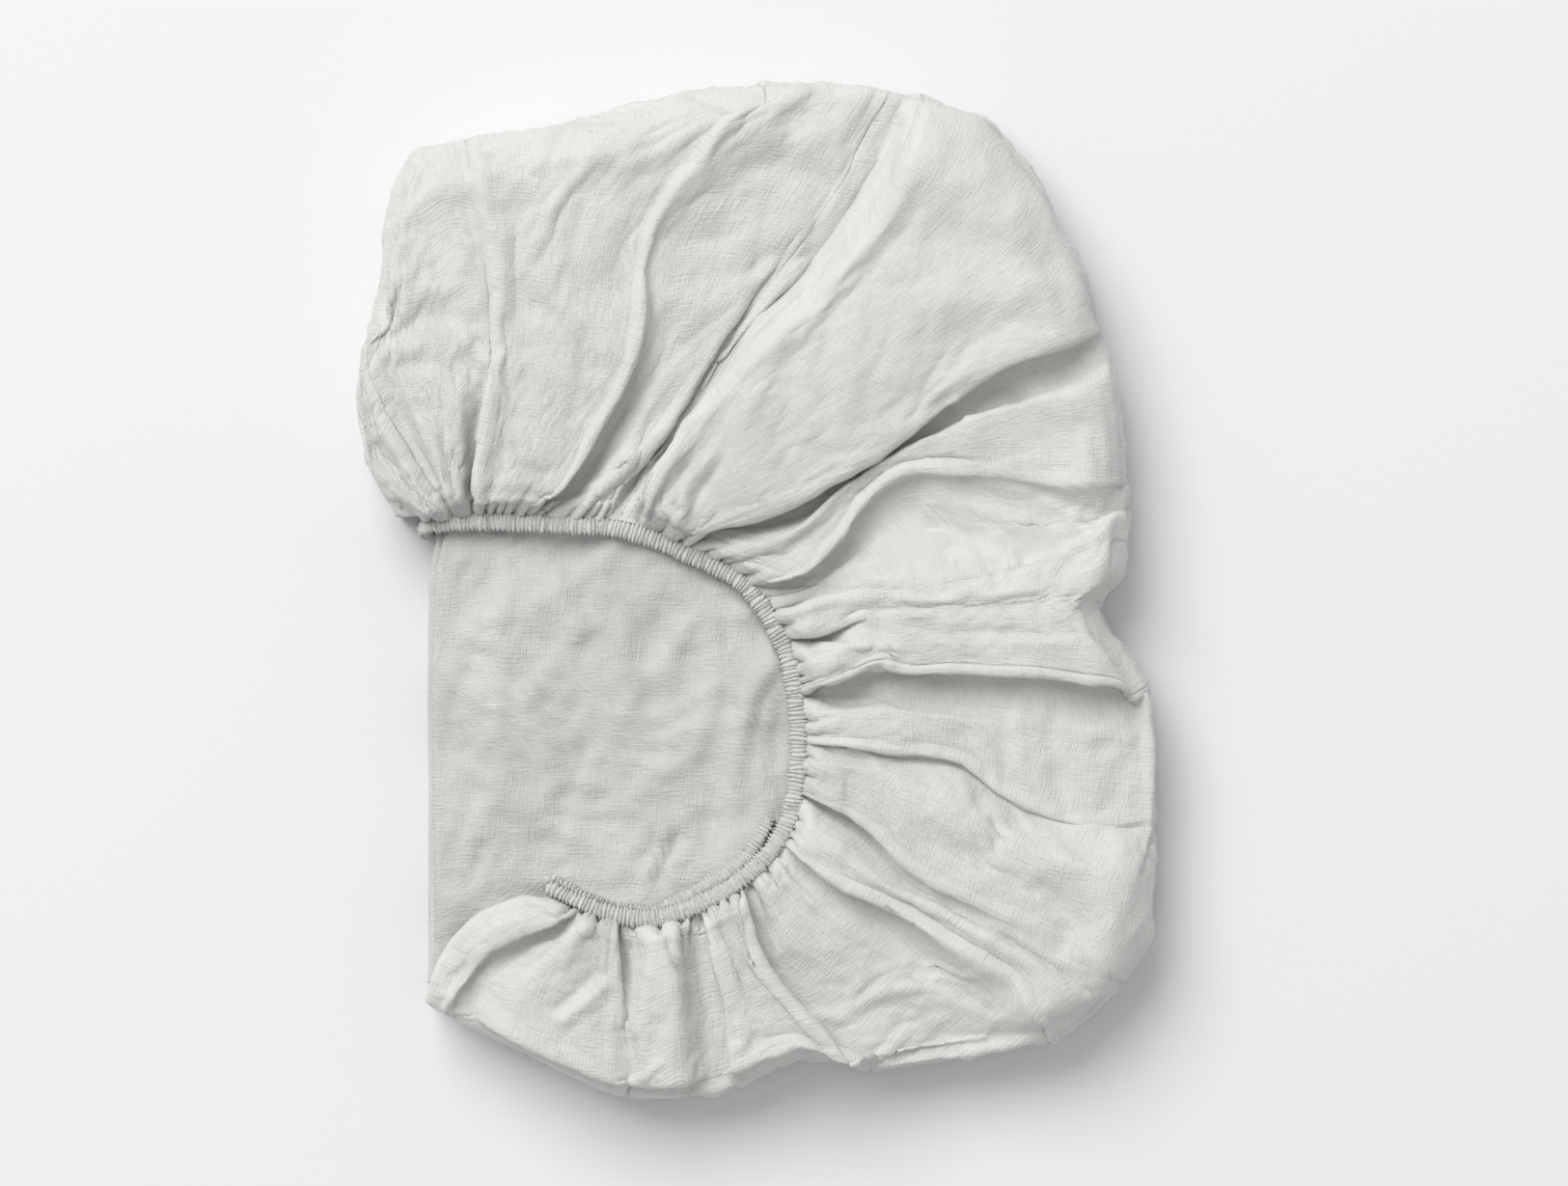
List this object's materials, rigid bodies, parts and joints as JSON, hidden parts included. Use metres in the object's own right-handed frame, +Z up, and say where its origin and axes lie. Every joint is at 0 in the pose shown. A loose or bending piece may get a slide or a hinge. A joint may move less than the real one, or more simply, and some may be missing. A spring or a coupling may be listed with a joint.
{
  "type": "crumpled fitted sheet",
  "caption": "Linen fitted sheet folded into a flat bundle, its gathered skirt turned up round the stack and its ruched elastic edge in a C on top.",
  "frame": {"origin": "under the middle of the bundle, on the surface that it rests on", "axes": "+Z up; +Y along the bundle's longer side, towards its wide gathered end; +X away from the stack's folded edge"},
  "size_m": [0.3733, 0.477, 0.0588],
  "materials": {
    "linen_panel": "washed pale grey linen, plain weave, soft and matt",
    "linen_skirt": "washed pale grey linen, plain weave, crumpled, matt",
    "linen_casing": "the same linen, ruched tight on its elastic"
  },
  "bodies": {
    "root": {"main_panel": "linen_panel", "skirt": "linen_skirt", "elastic_casing": "linen_casing"}
  },
  "joints": []
}
